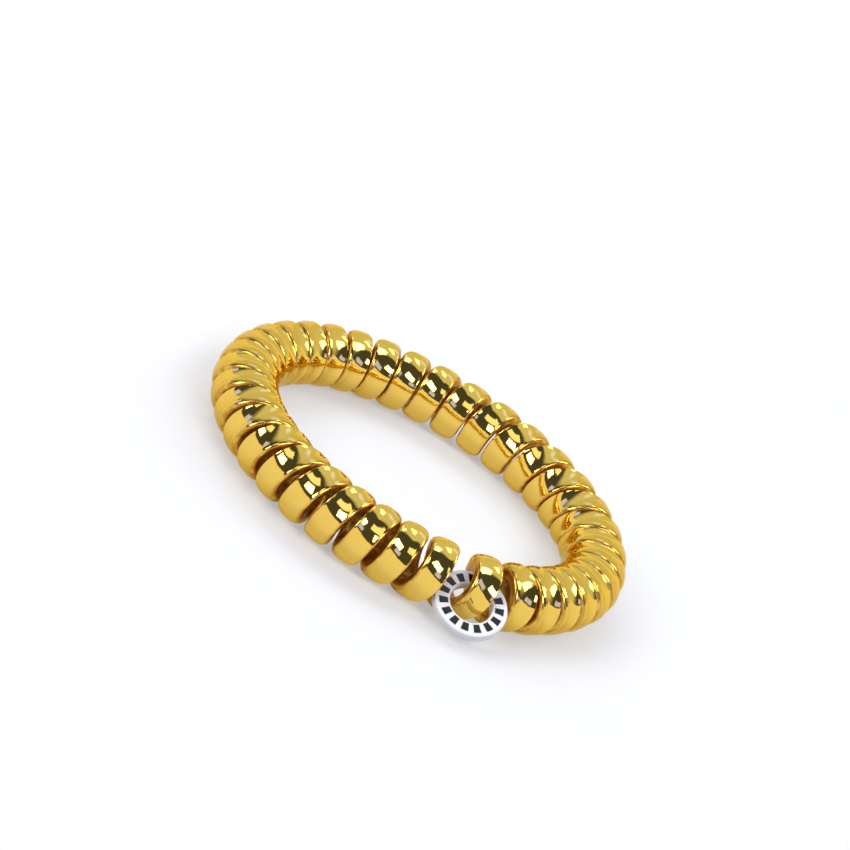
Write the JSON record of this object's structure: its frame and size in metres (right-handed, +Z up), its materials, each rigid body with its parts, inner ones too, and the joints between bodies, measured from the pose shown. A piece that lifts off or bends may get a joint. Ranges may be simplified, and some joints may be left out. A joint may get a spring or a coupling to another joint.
{
  "type": "spiral hair tie",
  "caption": "Springy closed ring of tightly coiled gloss cord that holds hair in a ponytail, with a small flat tag ring threaded on the cord.",
  "frame": {"origin": "on the surface the tie lies on, under the middle of the ring", "axes": "+Z up through the hole of the ring, +X along the ring's slightly longer width, -Y towards the side that carries the tag ring"},
  "size_m": [0.0514, 0.049, 0.0074],
  "materials": {
    "gold_cord": "mirror-bright metallic gold under a clear gloss, amber where the cord faces inwards",
    "milky_plastic": "smooth milky plastic with short dark moulded dashes"
  },
  "bodies": {
    "root": {"spiral_coil": "gold_cord", "tag_ring": "milky_plastic"}
  },
  "joints": []
}
